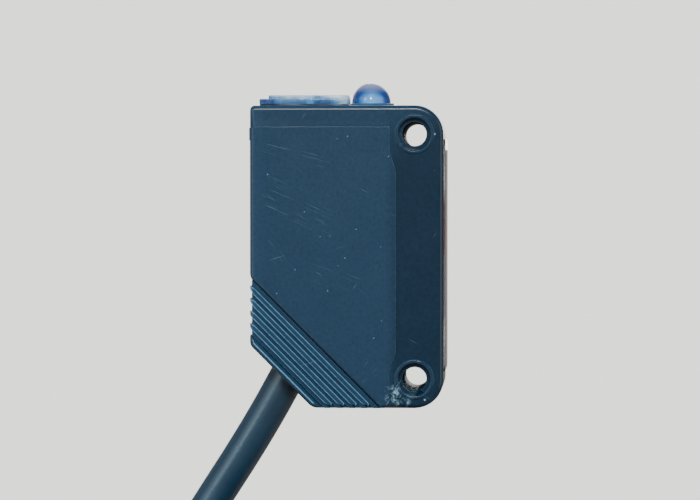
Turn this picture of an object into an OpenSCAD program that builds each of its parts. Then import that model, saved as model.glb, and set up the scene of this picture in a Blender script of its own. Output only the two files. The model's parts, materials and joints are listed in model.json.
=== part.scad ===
// Compact square photoelectric sensor: moulded case with two tapped screw holes,
// front window, top control panel with indicator dome, and a pre-wired round cable.
// Frame: +X is the sensing direction, +Z is up, the mounting side is the plane y = 0.
// The origin is midway between the two screw holes on the mounting side.

/* [Case] */
// Height of the case
case_h = 31.4; // [31:0.1:32]
// Depth of the case along the sensing direction
case_d = 20.1; // [20:0.1:21]
// Width of the case across the two side panels
case_w = 10.8; // [10.8:0.1:12]
// Distance from the screw axis to the front face
front_x = 3; // [3:0.05:3.2]
// Radius of the two front corners
front_r = 3; // [2.6:0.1:3]
// Length of the sloped cable corner, measured along each face
slope = 6.5; // [6:0.1:6.8]
// Wall thickness of the case
wall = 1.2; // [1:0.05:1.25]
// Height of the raised side panels above the case flank
panel_rise = 0.15; // [0.1:0.05:0.2]

/* [Screw holes] */
// Distance between the two screw axes
hole_pitch = 25.4; // [25:0.1:25.6]
// Wall diameter of the tapped holes
hole_d = 2.6; // [2.5:0.05:2.7]
// Diameter of the countersunk entry
entry_d = 3.35; // [3.2:0.05:3.5]
// Depth of the countersunk entry
entry_depth = 0.6; // [0.4:0.1:1]
// Outer diameter of the raised ring round each hole
ring_d = 4.15; // [3.9:0.05:4.2]

/* [Grip grooves] */
// Number of diagonal grooves
groove_n = 5; // [1:1:5]
// Vertical distance between grooves
groove_pitch = 1.28; // [1.1:0.02:1.3]
// Width of a groove
groove_w = 0.42; // [0.3:0.02:0.5]
// Depth of a groove
groove_depth = 0.22; // [0.1:0.02:0.25]

/* [Controls] */
// Diameter of the two adjuster heads
dial_d = 3.4; // [3:0.1:3.5]
// Clearance round an adjuster head
dial_gap = 0.2; // [0.15:0.01:0.3]
// Radius of the indicator dome
dome_r = 2.07; // [1.9:0.01:2.1]
// Distance of the dome behind the screw axis
dome_back = 4.7; // [4.65:0.05:4.75]

/* [Cable] */
// Outer diameter of the cable jacket
cable_d = 3.8; // [3.5:0.1:3.8]
// Diameter of one insulated core
core_d = 1.2; // [1:0.1:1.2]

/* [Hidden] */

fine = 64;
rear_x = front_x - case_d;
mid_y = -case_w / 2;
half_h = case_h / 2;
half_pitch = hole_pitch / 2;
flank_w = case_w - 2 * panel_rise;
over = 0.5;

// Lens stack
lens_z = 4.4;
lens_r = 3.5;
seat_x = 0.8;
lens_t = 1.0;
bulge_r = 3.2;
bulge_s = 1.2;
sphere_r = (bulge_r * bulge_r + bulge_s * bulge_s) / (2 * bulge_s);
window_x = 2.1;
window_t = 1.1;
holder_back = -6.4;

// Adjusters
adj_x = [-8.9, -13.3];
stem_r = 0.8;
head_z = [15.05, 16.55];
trim_z = [12.4, 14.3];
board_z = 11.6;
board_t = 0.8;
gasket_t = 0.1;
cover_z = half_h + gasket_t;
deck_t = 0.6;
plateau_t = 0.4;
flange_t = 0.26;
dome_z = half_h + 0.42;

// Cable port: its axis points down and to the rear, 60 degrees below level
port = [-13.6, mid_y, -12.7];
port_tilt = 30;
grommet_d = 4.8;

// Route of the free cable; all points by hand
lead_route = [
    [-11.3, -5.4, -8.7], [-13.45, -5.4, -12.45], [-15.64, -5.4, -16.4],
    [-18.1, -5.4, -20.5], [-20.85, -5.4, -24.8], [-25.45, -5.4, -32],
    [-31, -5.4, -40.7]
];
coil_c = [-9, 0, -54.5];
coil_r = [16.4, 28];
coil_y = [-27, -3.4];
tail_route = [
    [-15.3, -25, -71.8], [-9.5, -26.3, -73.6], [-3.8, -26.8, -76.7],
    [0.6, -26.8, -81.3], [3.2, -26.8, -87.2], [4, -26.8, -94], [4.2, -26.8, -101],
    [4.2, -26.8, -108]
];
brown_route = [
    [3.5, -26.8, -108.1], [3, -26.8, -112], [1.6, -27, -120], [0, -27.2, -128],
    [-1, -27.3, -136], [-1.4, -27.3, -146]
];
blue_route = [
    [4.6, -27.5, -108.1], [4.9, -27.7, -113], [5.6, -28.2, -122], [5.9, -28.5, -131],
    [5.8, -28.6, -140], [5.5, -28.6, -147]
];
black_route = [
    [4.6, -26.1, -108.1], [5.4, -26, -112], [7.6, -25.7, -119], [9.8, -25.5, -127],
    [11.2, -25.5, -135], [11.8, -25.5, -144]
];

function unit(v) = v / norm(v);
function heading(p, i) = unit(p[min(i + 1, len(p) - 1)] - p[max(i - 1, 0)]);
function side_a(t) = unit(cross(t, [0, 1, 0]));
function side_b(t) = cross(t, side_a(t));

// A tube of n sides swept along a list of points
module tube(path, d, n) {
    rings = len(path);
    corners = [
        for (i = [0 : rings - 1]) for (j = [0 : n - 1])
            let (t = heading(path, i), a = 360 * (j + 0.5) / n)
            path[i] + d / 2 * (cos(a) * side_a(t) + sin(a) * side_b(t))
    ];
    walls = [
        for (i = [0 : rings - 2]) for (j = [0 : n - 1])
            for (half = [0, 1])
            let (a = i * n + j, b = i * n + (j + 1) % n, c = a + n, e = b + n)
            half == 0 ? [a, b, e] : [a, e, c]
    ];
    first = [[for (j = [n - 1 : -1 : 0]) j]];
    last = [[for (j = [0 : n - 1]) (rings - 1) * n + j]];
    polyhedron(points = corners, faces = concat(first, walls, last));
}

// Extrude a side view (x, z) from y = y_hi towards -y
module side_slab(y_hi, t) {
    translate([0, y_hi, 0]) rotate([90, 0, 0]) linear_extrude(height = t) children();
}

// A box given by its low and high corners
module box(lo, hi) {
    translate(lo) cube(hi - lo);
}

// A rod along +X
module x_rod(x0, x1, y, z, r) {
    translate([x0, y, z]) rotate([0, 90, 0]) cylinder(r = r, h = x1 - x0, $fn = fine);
}

// A rod along +Z
module z_rod(x, y, z0, z1, r) {
    translate([x, y, z0]) cylinder(r = r, h = z1 - z0, $fn = fine);
}

// A rod along -Y, from y1 down to y0
module y_rod(x, z, y0, y1, r) {
    translate([x, y1, z]) rotate([90, 0, 0]) cylinder(r = r, h = y1 - y0, $fn = fine);
}

// A rod along the cable port's axis; s is the distance inwards from the port
module port_rod(s0, s1, r) {
    translate(port) rotate([0, port_tilt, 0]) translate([0, 0, s0])
        cylinder(r = r, h = s1 - s0, $fn = fine);
}

// Side view of the case, front corners rounded, cable corner sloped
module case_outline() {
    difference() {
        union() {
            translate([rear_x, -half_h]) square([case_d - front_r, case_h]);
            translate([front_x - front_r, front_r - half_h])
                square([front_r, case_h - 2 * front_r]);
            for (s = [-1, 1])
                translate([front_x - front_r, s * (half_h - front_r)])
                    circle(r = front_r, $fn = fine);
        }
        polygon([
            [rear_x - over, -half_h - over], [rear_x + slope + over, -half_h - over],
            [rear_x - over, slope + over - half_h]
        ]);
    }
}

// Side view of the raised panel
module panel_outline() {
    polygon([
        [rear_x, 13.5], [-2.6, 13.5], [-2.6, 10.8], [-1.95, 9], [-1.95, -10.1],
        [-2.6, -11.7], [-2.6, -half_h], [rear_x + slope, -half_h],
        [rear_x, slope - half_h]
    ]);
}

// Side view of the space inside
module cavity_outline() {
    x = rear_x + wall;
    z = half_h - wall;
    cut = slope - wall * 0.6;
    polygon([
        [x, z], [-2.6, z], [-2.6, 9.5], [window_x + over, 9.5],
        [window_x + over, -9.5], [-2.6, -9.5], [-2.6, -z], [x + cut, -z],
        [x, cut - z]
    ]);
}

// One diagonal groove that runs over both flanks and the rear face
module groove(z0) {
    difference() {
        translate([rear_x, mid_y, z0]) rotate([0, 45, 0])
            translate([-1, -case_w, -groove_w / 2]) cube([22, 2 * case_w, groove_w]);
        box([rear_x + groove_depth, groove_depth - case_w, -case_h],
            [front_x + over, -groove_depth, case_h]);
    }
}

// Round parts of one screw hole
module screw_hole(z) {
    y_rod(0, z, -case_w - over, over, hole_d / 2);
    y_rod(0, z, -case_w - over, entry_depth - case_w, entry_d / 2);
}

module case_body() {
    color([0.16, 0.27, 0.36]) difference() {
        union() {
            side_slab(-panel_rise, flank_w) case_outline();
            side_slab(0, case_w) panel_outline();
            for (s = [-1, 1]) y_rod(0, s * half_pitch, -case_w, 0, ring_d / 2);
            box([rear_x - 0.15, -case_w + 1.2, 12.1], [rear_x + 0.1, -1.2, 13.4]);
        }
        side_slab(-wall, case_w - 2 * wall) cavity_outline();
        window_pocket();
        for (i = [0 : groove_n - 1]) groove(-2.52 - i * groove_pitch);
        for (s = [-1, 1]) screw_hole(s * half_pitch);
        box([-15.4, -9.3, half_h - wall - over], [-7.1, -1.5, half_h + over]);
        z_rod(-dome_back, mid_y, half_h - wall - over, half_h + over, 1.95);
        port_rod(-3, 5, grommet_d / 2 + 0.02);
        box([-15.5, -0.1, -0.9], [-3.5, over, 12]);
    }
}

// Seat of the window in the front face
module window_pocket() {
    translate([window_x, 0, 0]) rotate([90, 0, 90])
        linear_extrude(height = 2) window_outline(0.05);
}

// Front view of the window (y, z), grown by g
module window_outline(g) {
    r = 0.8;
    union() {
        translate([-9.95 - g, -12 - g + r]) square([9.1 + 2 * g, 24.3 + 2 * g - 2 * r]);
        translate([-9.95 - g + r, -12 - g]) square([9.1 + 2 * g - 2 * r, 24.3 + 2 * g]);
        for (y = [-9.95 - g + r, -0.85 + g - r]) for (z = [-12 - g + r, 12.3 + g - r])
            translate([y, z]) circle(r = r, $fn = fine);
    }
}

module front_window() {
    color([0.45, 0.2, 0.22, 0.7]) translate([window_x, 0, 0]) rotate([90, 0, 90])
        linear_extrude(height = window_t) window_outline(0);
}

// Plano-convex lens, flat side forward
module lens(z) {
    color([0.85, 0.9, 0.95, 0.5]) union() {
        x_rod(seat_x, seat_x + lens_t, mid_y, z, lens_r);
        intersection() {
            translate([seat_x + sphere_r - bulge_s, mid_y, z])
                sphere(r = sphere_r, $fn = fine);
            x_rod(seat_x - bulge_s - over, seat_x + 0.2, mid_y, z, bulge_r);
        }
    }
}

module emitter_lens() { lens(-lens_z); }
module receiver_lens() { lens(lens_z); }

// Thin polarising disc
module polariser(z) {
    color([0.3, 0.3, 0.32, 0.7])
        x_rod(seat_x + lens_t, seat_x + lens_t + 0.2, mid_y, z, lens_r);
}

module emitter_polariser() { polariser(-lens_z); }
module receiver_polariser() { polariser(lens_z); }

module optics_holder() {
    color([0.06, 0.06, 0.07]) difference() {
        box([holder_back, -9.4, -9.3], [2, -1.4, 9.3]);
        for (z = [-lens_z, lens_z]) {
            x_rod(seat_x, 2 + over, mid_y, z, lens_r + 0.02);
            x_rod(-3.4, seat_x + 0.1, mid_y, z, bulge_r + 0.05);
            x_rod(-5.2, -3.3, mid_y, z, 1.5);
            box([holder_back - over, mid_y - 2, z - 2], [-5, mid_y + 2, z + 2]);
        }
    }
}

module optics_board() {
    color([0.1, 0.35, 0.2]) difference() {
        box([holder_back - 0.8, -8.8, -9], [holder_back, -3, 9]);
        for (z = [-8.3, 8.3]) x_rod(holder_back - 1, holder_back + 0.2, -8.2, z, 0.4);
    }
}

module emitter_led() {
    color([0.9, 0.9, 0.85]) union() {
        box([holder_back, mid_y - 1.5, -lens_z - 1.5], [-5.4, mid_y + 1.5, 1.5 - lens_z]);
        translate([-5.4, mid_y, -lens_z]) difference() {
            sphere(r = 0.9, $fn = fine);
            translate([-2, -1, -1]) cube([1.8, 2, 2]);
        }
    }
}

module receiver_diode() {
    color([0.12, 0.1, 0.14])
        box([holder_back, mid_y - 1.7, lens_z - 1.6], [-5.4, mid_y + 1.7, lens_z + 1.6]);
}

module shield_can() {
    color([0.75, 0.75, 0.76]) difference() {
        box([-8.4, -8.4, 1.2], [-7.2, -3.4, 8]);
        box([-8.2, -8.2, 1.4], [-7, -3.6, 7.8]);
    }
}

module main_board() {
    color([0.1, 0.35, 0.2]) side_slab(-1.6, 0.8) polygon([
        [-15.6, 11.3], [-7.4, 11.3], [-7.4, -13.6], [-9.6, -13.6], [-15.6, -7.6]
    ]);
}

module control_chip() {
    color([0.08, 0.08, 0.09]) union() {
        box([-13.8, -3.4, 0.6], [-9.6, -2.5, 5.6]);
        for (i = [0 : 6]) for (x = [-14.5, -9.6])
            box([x, -2.9, 0.9 + i * 0.65], [x + 0.7, -2.4, 1.2 + i * 0.65]);
    }
}

module output_transistor() {
    color([0.08, 0.08, 0.09]) union() {
        box([-13.4, -3.5, -4.4], [-10.6, -2.5, -1.9]);
        for (x = [-13.2, -12.2, -11.2]) box([x, -2.9, -5.2], [x + 0.4, -2.4, -4.4]);
    }
}

module board_passives() {
    color([0.6, 0.5, 0.35]) for (p = [
        [-14.6, 7], [-12.9, 7], [-11.2, 7], [-9.5, 7], [-14.6, 8.6], [-12.9, 8.6],
        [-9, -0.8], [-9, -2.6], [-9, -4.4], [-14.9, -1.2], [-14.9, -3]
    ]) box([p.x, -2.95, p.y], [p.x + 0.8, -2.4, p.y + 1.4]);
}

module tantalum_capacitor() {
    color([0.85, 0.6, 0.15]) box([-9.3, -4, -13.2], [-7.7, -2.4, -9.8]);
}

module link_pins() {
    color([0.8, 0.7, 0.4]) for (i = [0 : 3])
        box([-13.5 + i * 1.27, -2.8, 10.2], [-13.1 + i * 1.27, -2.4, board_z]);
}

module panel_board() {
    color([0.1, 0.35, 0.2]) difference() {
        box([-15.5, -9.3, board_z], [-2.9, -1.5, board_z + board_t]);
        for (x = adj_x) z_rod(x, mid_y, board_z - 0.1, board_z + board_t + 0.1, 0.6);
    }
}

// Fixed body of an adjuster, square with a round bearing
module adjuster_body(x) {
    difference() {
        box([x - 2, mid_y - 2, trim_z[0]], [x + 2, mid_y + 2, trim_z[1]]);
        z_rod(x, mid_y, trim_z[0] + 0.5, trim_z[1] + over, stem_r + 0.05);
    }
}

module sensitivity_trimmer() { color([0.15, 0.25, 0.6]) adjuster_body(adj_x[0]); }
module mode_switch() { color([0.12, 0.12, 0.12]) adjuster_body(adj_x[1]); }

// Turning part of an adjuster: head, waist and stem
module dial(x) {
    z_rod(x, mid_y, head_z[0], head_z[1], dial_d / 2);
    z_rod(x, mid_y, trim_z[0] + 0.6, head_z[0] + 0.1, stem_r);
}

module sensitivity_dial() {
    color([0.93, 0.93, 0.9]) difference() {
        dial(adj_x[0]);
        for (a = [0, 90]) translate([adj_x[0], mid_y, head_z[1] - 0.3]) rotate([0, 0, a])
            cube([2.5, 0.5, 1.2], center = true);
    }
}

module mode_dial() {
    color([0.95, 0.6, 0.2]) difference() {
        dial(adj_x[1]);
        translate([adj_x[1], mid_y, head_z[1] - 0.3]) cube([2.7, 0.55, 1.2], center = true);
        translate([adj_x[1] + 1.1, mid_y, head_z[1] - 0.3]) rotate([0, 0, 45])
            cube([0.7, 0.7, 1.2], center = true);
    }
}

// Rubber ring on an adjuster's stem
module seal(x) {
    color([0.05, 0.05, 0.05]) translate([x, mid_y, 14.68])
        rotate_extrude($fn = fine) translate([stem_r + 0.34, 0]) circle(r = 0.32, $fn = 24);
}

module sensitivity_seal() { seal(adj_x[0]); }
module mode_seal() { seal(adj_x[1]); }

// Surface-mount indicator
module indicator(y) {
    box([-dome_back - 0.8, y - 0.5, board_z + board_t],
        [0.8 - dome_back, y + 0.5, board_z + board_t + 0.6]);
}

module stability_led() { color([0.6, 0.9, 0.6]) indicator(mid_y + 0.9); }
module output_led() { color([0.95, 0.7, 0.4]) indicator(mid_y - 0.9); }

module panel_gasket() {
    color([0.05, 0.06, 0.07]) difference() {
        box([-16.1, -9.9, half_h], [-6.9, -0.9, cover_z]);
        box([-15.4, -9.3, half_h - 0.1], [-7.1, -1.5, cover_z + 0.1]);
    }
}

module panel_cover() {
    color([0.6, 0.75, 0.88, 0.6]) difference() {
        union() {
            box([-16.15, -9.9, cover_z], [-6.84, -0.9, cover_z + deck_t]);
            box([-15.25, -9.2, cover_z], [-6.84, -1.6, cover_z + deck_t + plateau_t]);
            box([-15.35, -9.25, cover_z - 0.6], [-7.15, -1.55, cover_z + 0.1]);
        }
        for (x = adj_x)
            z_rod(x, mid_y, cover_z - 1, cover_z + 2, dial_d / 2 + dial_gap);
    }
}

module indicator_dome() {
    color([0.25, 0.45, 0.75, 0.7]) union() {
        box([-6.77, mid_y - 2.9, half_h], [-2.2, mid_y + 2.9, half_h + flange_t]);
        z_rod(-dome_back, mid_y, half_h - 1.1, half_h + 0.1, 1.9);
        z_rod(-dome_back, mid_y, half_h + 0.1, dome_z, dome_r);
        intersection() {
            translate([-dome_back, mid_y, dome_z]) sphere(r = dome_r, $fn = fine);
            z_rod(-dome_back, mid_y, dome_z - 0.1, dome_z + 3, dome_r + 0.1);
        }
    }
}

module cable_grommet() {
    lip = 0.25;
    color([0.1, 0.12, 0.15]) difference() {
        port_rod(-3, 2.6, grommet_d / 2);
        port_rod(-4, 3, cable_d / 2 + 0.02);
        translate(port) rotate([0, 45, 0]) translate([-5, -5, -lip - 8])
            cube([10, 10, 8]);
    }
}

module crimp_ring() {
    color([0.7, 0.7, 0.72]) difference() {
        port_rod(2.62, 4, 2.5);
        port_rod(2, 5, cable_d / 2 + 0.02);
    }
}

module inner_wires() {
    color([0.4, 0.25, 0.15]) for (w = [
        [[-11.8, -4.7, -8.4], [-11.7, -3.9, -7.3], [-12.1, -3.3, -6.6], [-12.5, -3, -5.9]],
        [[-10.7, -5.4, -8.8], [-10.3, -4.6, -7.4], [-10.5, -3.5, -6.5], [-10.9, -3, -5.9]],
        [[-11.8, -6.1, -8.4], [-12.8, -5, -7.2], [-13.7, -3.8, -6.6], [-14.1, -3, -6]]
    ]) tube(w, 0.8, 8);
}

module cable_lead() { color([0.17, 0.28, 0.28]) tube(lead_route, cable_d, 8); }
module cable_tail() { color([0.17, 0.28, 0.28]) tube(tail_route, cable_d, 8); }

module cable_coil() {
    c = 1.2;
    color([0.17, 0.28, 0.28]) translate(coil_c) rotate([90, 0, 0])
        rotate_extrude($fn = fine) polygon([
            [coil_r[0], c - coil_y[1]], [coil_r[0] + c, -coil_y[1]],
            [coil_r[1] - c, -coil_y[1]], [coil_r[1], c - coil_y[1]],
            [coil_r[1], -coil_y[0] - c], [coil_r[1] - c, -coil_y[0]],
            [coil_r[0] + c, -coil_y[0]], [coil_r[0], -coil_y[0] - c]
        ]);
}

module core_brown() { color([0.4, 0.22, 0.12]) tube(brown_route, core_d, 8); }
module core_blue() { color([0.1, 0.3, 0.7]) tube(blue_route, core_d, 8); }
module core_black() { color([0.05, 0.05, 0.05]) tube(black_route, core_d, 8); }

module core_tips() {
    color([0.78, 0.78, 0.78])
        for (p = [brown_route[5], blue_route[5], black_route[5]])
            z_rod(p.x, p.y, p.z - 6, p.z - 0.05, 0.35);
}

// Cable tie round the coil, on the side s of its centre
module coil_tie(s) {
    slack = 0.15;
    band = 0.8;
    r0 = coil_r[0] - slack - 0.1;
    r1 = coil_r[1] + slack;
    y0 = coil_y[0] - slack;
    y1 = coil_y[1] + slack;
    color([0.88, 0.87, 0.82]) translate([coil_c.x, 0, coil_c.z])
        mirror([s < 0 ? 1 : 0, 0, 0]) union() {
            difference() {
                box([r0 - band, y0 - band, -1.25], [r1 + band, y1 + band, 1.25]);
                box([r0, y0, -2], [r1, y1, 2]);
            }
            box([r1 + band, -17, -2], [r1 + band + 3, -12.4, 2]);
        }
}

module tie_right() { coil_tie(1); }
module tie_left() { coil_tie(-1); }

module side_label() {
    color([0.75, 0.76, 0.76]) box([-15.45, -0.1, -0.85], [-3.55, -0.02, 11.95]);
}

case_body();
front_window();
emitter_lens();
receiver_lens();
emitter_polariser();
receiver_polariser();
optics_holder();
optics_board();
emitter_led();
receiver_diode();
shield_can();
main_board();
control_chip();
output_transistor();
board_passives();
tantalum_capacitor();
link_pins();
panel_board();
sensitivity_trimmer();
mode_switch();
sensitivity_dial();
mode_dial();
sensitivity_seal();
mode_seal();
stability_led();
output_led();
panel_gasket();
panel_cover();
indicator_dome();
cable_grommet();
crimp_ring();
inner_wires();
cable_lead();
cable_coil();
cable_tail();
core_brown();
core_blue();
core_black();
core_tips();
tie_right();
tie_left();
side_label();
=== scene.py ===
import json
import math

import bmesh
import bpy
from mathutils import Matrix, Vector

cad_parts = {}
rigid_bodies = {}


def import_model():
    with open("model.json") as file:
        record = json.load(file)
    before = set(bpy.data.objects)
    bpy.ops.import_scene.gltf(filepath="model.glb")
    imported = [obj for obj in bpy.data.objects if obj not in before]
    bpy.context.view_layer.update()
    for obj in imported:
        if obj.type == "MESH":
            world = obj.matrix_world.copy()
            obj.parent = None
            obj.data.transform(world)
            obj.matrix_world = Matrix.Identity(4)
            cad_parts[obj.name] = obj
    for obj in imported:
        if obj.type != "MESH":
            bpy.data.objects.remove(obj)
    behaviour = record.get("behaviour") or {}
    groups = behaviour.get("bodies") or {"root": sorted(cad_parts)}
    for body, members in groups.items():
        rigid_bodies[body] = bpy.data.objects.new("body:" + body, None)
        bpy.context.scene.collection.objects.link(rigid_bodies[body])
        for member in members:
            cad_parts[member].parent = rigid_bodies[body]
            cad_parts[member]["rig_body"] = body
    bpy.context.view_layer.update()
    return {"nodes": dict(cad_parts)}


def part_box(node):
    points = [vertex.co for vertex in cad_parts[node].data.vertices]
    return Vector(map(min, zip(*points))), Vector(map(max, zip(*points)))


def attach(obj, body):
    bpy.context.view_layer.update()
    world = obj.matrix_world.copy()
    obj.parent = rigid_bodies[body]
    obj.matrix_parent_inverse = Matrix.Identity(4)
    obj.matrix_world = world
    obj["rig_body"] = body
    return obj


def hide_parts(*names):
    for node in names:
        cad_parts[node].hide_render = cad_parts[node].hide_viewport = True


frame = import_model()

# --- Camera --------------------------------------------------------------------
# A long lens a little in front of and above the sensor, looking at its near side,
# so a sliver of the front window and the top edge of the panel are seen.
mm = 0.001
camera = bpy.data.objects.new("camera", bpy.data.cameras.new("camera"))
camera.data.lens = 139.9
camera.data.sensor_width = 36
camera.data.clip_start = 0.01
camera.data.clip_end = 20
camera.location = Vector((10.4, -291.8, 6.7)) * mm
camera.rotation_euler = Vector((-0.0607, 1, -0.0213)).to_track_quat("-Z", "Y").to_euler()
bpy.context.collection.objects.link(camera)
bpy.context.scene.camera = camera

# --- Studio --------------------------------------------------------------------
# A plain pale floor well below the sensor, curving up into a round wall, so there
# is the same soft background behind it from every side.
def finished_mesh(name, bm, material=None, smooth=0):
    """Closes a bmesh into an object that sits at the origin."""
    bmesh.ops.recalc_face_normals(bm, faces=bm.faces)
    data = bpy.data.meshes.new(name)
    bm.to_mesh(data)
    bm.free()
    if smooth:
        data.shade_smooth()
        data.set_sharp_from_angle(angle=math.radians(smooth))
    piece = bpy.data.objects.new(name, data)
    bpy.context.collection.objects.link(piece)
    if smooth:
        even = piece.modifiers.new("even_flats", "WEIGHTED_NORMAL")
        even.keep_sharp = True
        even.weight = 100
    if material:
        data.materials.append(material)
    return piece


def new_material(name):
    material = bpy.data.materials.new(name)
    material.use_nodes = True
    tree = material.node_tree
    return material, tree, tree.nodes["Principled BSDF"]


paper, tree, shader = new_material("studio_paper")
shader.inputs["Base Color"].default_value = (0.3, 0.298, 0.292, 1)
shader.inputs["Roughness"].default_value = 0.9
shader.inputs["Emission Color"].default_value = (0.795, 0.8, 0.77, 1)
# it glows evenly where it is looked at, straight or through clear parts, and lights
# the sensor only faintly
looking = tree.nodes.new("ShaderNodeLightPath")
glow = tree.nodes.new("ShaderNodeMapRange")
glow.inputs["To Min"].default_value = 0.12
glow.inputs["To Max"].default_value = 1.96
seen = tree.nodes.new("ShaderNodeMath")
seen.operation = "MAXIMUM"
tree.links.new(looking.outputs["Is Camera Ray"], seen.inputs[0])
tree.links.new(looking.outputs["Is Transmission Ray"], seen.inputs[1])
tree.links.new(seen.outputs[0], glow.inputs["Value"])
tree.links.new(glow.outputs[0], shader.inputs["Emission Strength"])

bm = bmesh.new()
profile = [bm.verts.new((r, 0, z)) for r, z in (
    (0.001, 0), (1.6, 0), (2.4, 0), (2.7, 0.06), (2.93, 0.2), (3.08, 0.42),
    (3.15, 0.72), (3.15, 2), (3.15, 4.5))]
floor_z = -1.35
rim = [bm.edges.new(pair) for pair in zip(profile, profile[1:])]
bmesh.ops.spin(bm, geom=profile + rim, cent=(0, 0, 0), axis=(0, 0, 1),
               angle=math.tau, steps=96, use_merge=True)
bmesh.ops.translate(bm, verts=bm.verts, vec=(0, 0, floor_z))
studio = finished_mesh("studio_floor", bm, paper, smooth=60)

world = bpy.data.worlds.new("studio_air")
world.use_nodes = True
world.node_tree.nodes["Background"].inputs["Color"].default_value = (0.95, 0.97, 1, 1)
world.node_tree.nodes["Background"].inputs["Strength"].default_value = 0.12
bpy.context.scene.world = world


def soft_box(name, place, size, power, shape="RECTANGLE", mirrored=True, tint=(1, 1, 1)):
    """A studio lamp aimed at the sensor. It isn't seen itself, only what it lights,
    and it may be kept from being mirrored in glossy surfaces.
    """
    lamp = bpy.data.objects.new(name, bpy.data.lights.new(name, "AREA"))
    lamp.data.shape = shape
    lamp.data.size, lamp.data.size_y = size
    lamp.data.energy = power
    lamp.data.color = tint
    lamp.location = place
    lamp.rotation_euler = (-Vector(place)).to_track_quat("-Z", "Y").to_euler()
    lamp.visible_camera = False
    lamp.visible_glossy = mirrored
    bpy.context.collection.objects.link(lamp)


soft_box("top_light", (0.1, 0.2, 1.9), (1.8, 1.4), 26, mirrored=False)
soft_box("edge_light", (0.35, -1.05, 1.5), (0.9, 0.3), 16, mirrored=False)
soft_box("key_light", (-0.02, -1.6, 1.02), (0.62, 0.62), 30, "DISK", mirrored=False)
soft_box("glint_light", (-0.02, -1.7, 0.83), (0.36, 0.36), 19, "DISK")
soft_box("cable_light", (-1.05, -1.46, 0.61), (0.6, 0.6), 7.5, "DISK", tint=(0.55, 0.88, 1))
soft_box("low_light", (-1.3, -1.25, -0.9), (0.5, 0.5), 2.4, "DISK")
soft_box("left_light", (-1.6, -0.9, 0), (1.1, 1.6), 8)
soft_box("right_light", (1.6, -0.9, 0.2), (1.1, 1.6), 10)
soft_box("back_light", (0.5, 2.1, 0.8), (1.6, 1.6), 24)

# --- Cable ---------------------------------------------------------------------
# A round PVC cable with three cores, two metres long. It leaves the sloped corner,
# hangs into a neat round coil of thirteen turns, and ends stripped, cores bare.
cable_d = 3.8
cable_y = -5.4
lead_route = [(x, cable_y, z) for x, z in (
    (-11.3, -8.7), (-13.45, -12.45), (-15.64, -16.4),
    (-18.1, -20.5), (-20.85, -24.8), (-25.45, -32))]
tail_route = [
    (-9.5, -26.3, -73.6), (-3.8, -26.8, -76.7), (0.6, -26.8, -81.3),
    (3.2, -26.8, -87.2), (4, -26.8, -94), (4.2, -26.8, -101), (4.2, -26.8, -108)]
coil_x, coil_z = -9, -54.5
coil_rows = [(26, 4.4), (22.2, 4.45), (18.4, 4.4333)]  # radius and number of turns
coil_start = math.radians(148)
row_pitch = 3.85
row_change = 0.1  # the radius changes over this part of a turn, before and after a row's start
steps_a_turn = 20


def coil_turns():
    """Points of the wound turns: three rows, each laid back over the last."""
    points = []
    turned, across = 0.0, cable_y
    side = -1
    starts = []
    for radius, turns in coil_rows:
        starts.append((turned, radius, across, side))
        turned += turns
        across += side * row_pitch * turns
        side = -side
    total = turned
    for i in range(round(total * steps_a_turn) + 1):
        t = min(i / steps_a_turn, total)
        row = max(k for k, s in enumerate(starts) if t >= s[0] - 1e-6)
        start, radius, y0, way = starts[row]
        y = y0 + way * row_pitch * (t - start)
        for k in (1, 2):
            step = (t - starts[k][0]) / row_change
            if -1 < step < 1:
                ease = (1 - math.sin(step * math.pi / 2)) / 2
                radius = starts[k][1] + (starts[k - 1][1] - starts[k][1]) * ease
        # the last fifth of a turn swings outward to meet the tail
        last = max(0.0, 1 - (total - t) / 0.2)
        y -= 2.7 * last * last
        angle = coil_start + math.tau * t
        points.append((coil_x + radius * math.cos(angle), y,
                       coil_z + radius * math.sin(angle)))
    return points


def cord_curve(name, route, thickness, sides, material):
    """A bevelled curve through every point of a route given in millimetres."""
    data = bpy.data.curves.new(name, "CURVE")
    data.dimensions = "3D"
    data.resolution_u = 4
    data.bevel_depth = thickness / 2 * mm
    data.bevel_resolution = sides
    data.use_fill_caps = True
    line = data.splines.new("BEZIER")
    line.bezier_points.add(len(route) - 1)
    for knot, point in zip(line.bezier_points, route):
        knot.co = Vector(point) * mm
        knot.handle_left_type = knot.handle_right_type = "AUTO"
    line.use_smooth = True
    data.materials.append(material)
    piece = bpy.data.objects.new(name, data)
    bpy.context.collection.objects.link(piece)
    return piece


def add_node(tree, kind, inputs=None, **settings):
    """Adds a shader node, sets its properties, and sets or links its inputs."""
    node = tree.nodes.new(kind if kind.startswith("Node") else "ShaderNode" + kind)
    for key, value in settings.items():
        setattr(node, key, value)
    for key, value in (inputs or {}).items():
        if isinstance(value, bpy.types.NodeSocket):
            tree.links.new(value, node.inputs[key])
        else:
            node.inputs[key].default_value = value
    return node


def maths(tree, operation, *values, clamp=False):
    """A Math node's result."""
    inputs = dict(enumerate(values))
    return add_node(tree, "Math", inputs, operation=operation, use_clamp=clamp).outputs[0]


def blend(tree, factor, first, second):
    """The colour between two colours."""
    mix = add_node(tree, "Mix", data_type="RGBA")
    for socket, value in zip((mix.inputs[0], mix.inputs[6], mix.inputs[7]),
                             (factor, first, second)):
        if isinstance(value, bpy.types.NodeSocket):
            tree.links.new(value, socket)
        else:
            socket.default_value = value
    return mix.outputs[2]


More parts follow.
